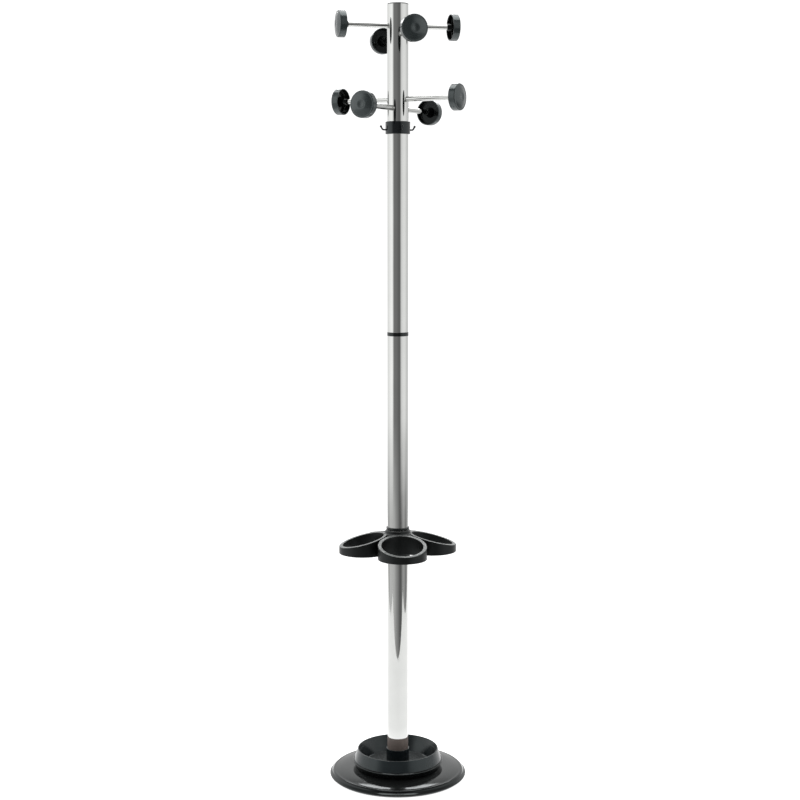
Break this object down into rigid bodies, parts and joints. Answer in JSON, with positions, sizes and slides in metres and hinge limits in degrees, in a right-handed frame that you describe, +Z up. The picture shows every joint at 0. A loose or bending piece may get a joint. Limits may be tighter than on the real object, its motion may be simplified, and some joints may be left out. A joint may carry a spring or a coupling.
{
  "type": "standing coat rack",
  "caption": "Standing coat rack: chromed pole on a round weighted base with a drip tray, a turning umbrella holder, a turning ring of small hooks and a turning head of knobbed pegs.",
  "frame": {"origin": "centre of the base on the floor", "axes": "+Z up along the pole; the upper pegs lie along X and Y, the lower pegs on the diagonals, and -Y is the front"},
  "size_m": [0.3199, 0.32, 1.78],
  "materials": {
    "chrome_tube": "bright chrome plate on steel tube and rod",
    "gloss_black": "glossy moulded plastic, black",
    "satin_black": "satin moulded plastic, black",
    "tray_black": "half-gloss moulded plastic, charcoal",
    "slate_knob": "fine-grained moulded plastic, dark slate",
    "socket_brown": "satin moulded plastic, warm grey-brown",
    "cast_weight": "rough casting, painted",
    "plate_steel": "black powder coat on sheet steel",
    "foot_rubber": "moulded rubber",
    "zinc_steel": "zinc-plated fasteners",
    "insert_brass": "turned brass"
  },
  "bodies": {
    "stand": {"base_cover": "gloss_black", "base_weight": "cast_weight", "base_plate": "plate_steel", "base_feet": "foot_rubber", "plate_screws": "zinc_steel", "tray_seat": "gloss_black", "drip_tray": "tray_black", "pole_socket": "socket_brown", "base_bolt": "zinc_steel", "base_washer": "zinc_steel", "anchor_nut": "zinc_steel", "lower_tube": "chrome_tube", "middle_tube": "chrome_tube", "upper_tube": "chrome_tube", "lower_joiner": "satin_black", "middle_joiner": "satin_black", "upper_joiner": "satin_black", "stop_ring": "satin_black", "stop_ring_screws": "zinc_steel"},
    "umbrella_holder": {"umbrella_holder": "satin_black"},
    "hook_ring": {"hook_ring": "gloss_black"},
    "head": {"head_tube": "chrome_tube", "head_cap": "satin_black", "upper_rod_core": "satin_black", "lower_rod_core": "satin_black", "rod_set_screws": "zinc_steel", "upper_rod_x": "chrome_tube", "upper_rod_y": "chrome_tube", "lower_rod_a": "chrome_tube", "lower_rod_b": "chrome_tube", "knob_inserts": "insert_brass", "knob_upper_right": "slate_knob", "knob_upper_rear": "slate_knob", "knob_upper_left": "slate_knob", "knob_upper_front": "slate_knob", "knob_lower_right_rear": "slate_knob", "knob_lower_left_rear": "slate_knob", "knob_lower_left_front": "slate_knob", "knob_lower_right_front": "slate_knob"}
  },
  "joints": [
    {"name": "umbrella_holder_turn", "type": "hinge", "parent": "stand", "child": "umbrella_holder", "pos_m": [0, 0, 0.562], "axis": [0, 0, 1], "continuous": true},
    {"name": "hook_ring_turn", "type": "hinge", "parent": "stand", "child": "hook_ring", "pos_m": [0, 0, 1.507], "axis": [0, 0, 1], "continuous": true},
    {"name": "head_turn", "type": "hinge", "parent": "stand", "child": "head", "pos_m": [0, 0, 1.512], "axis": [0, 0, 1], "continuous": true}
  ]
}
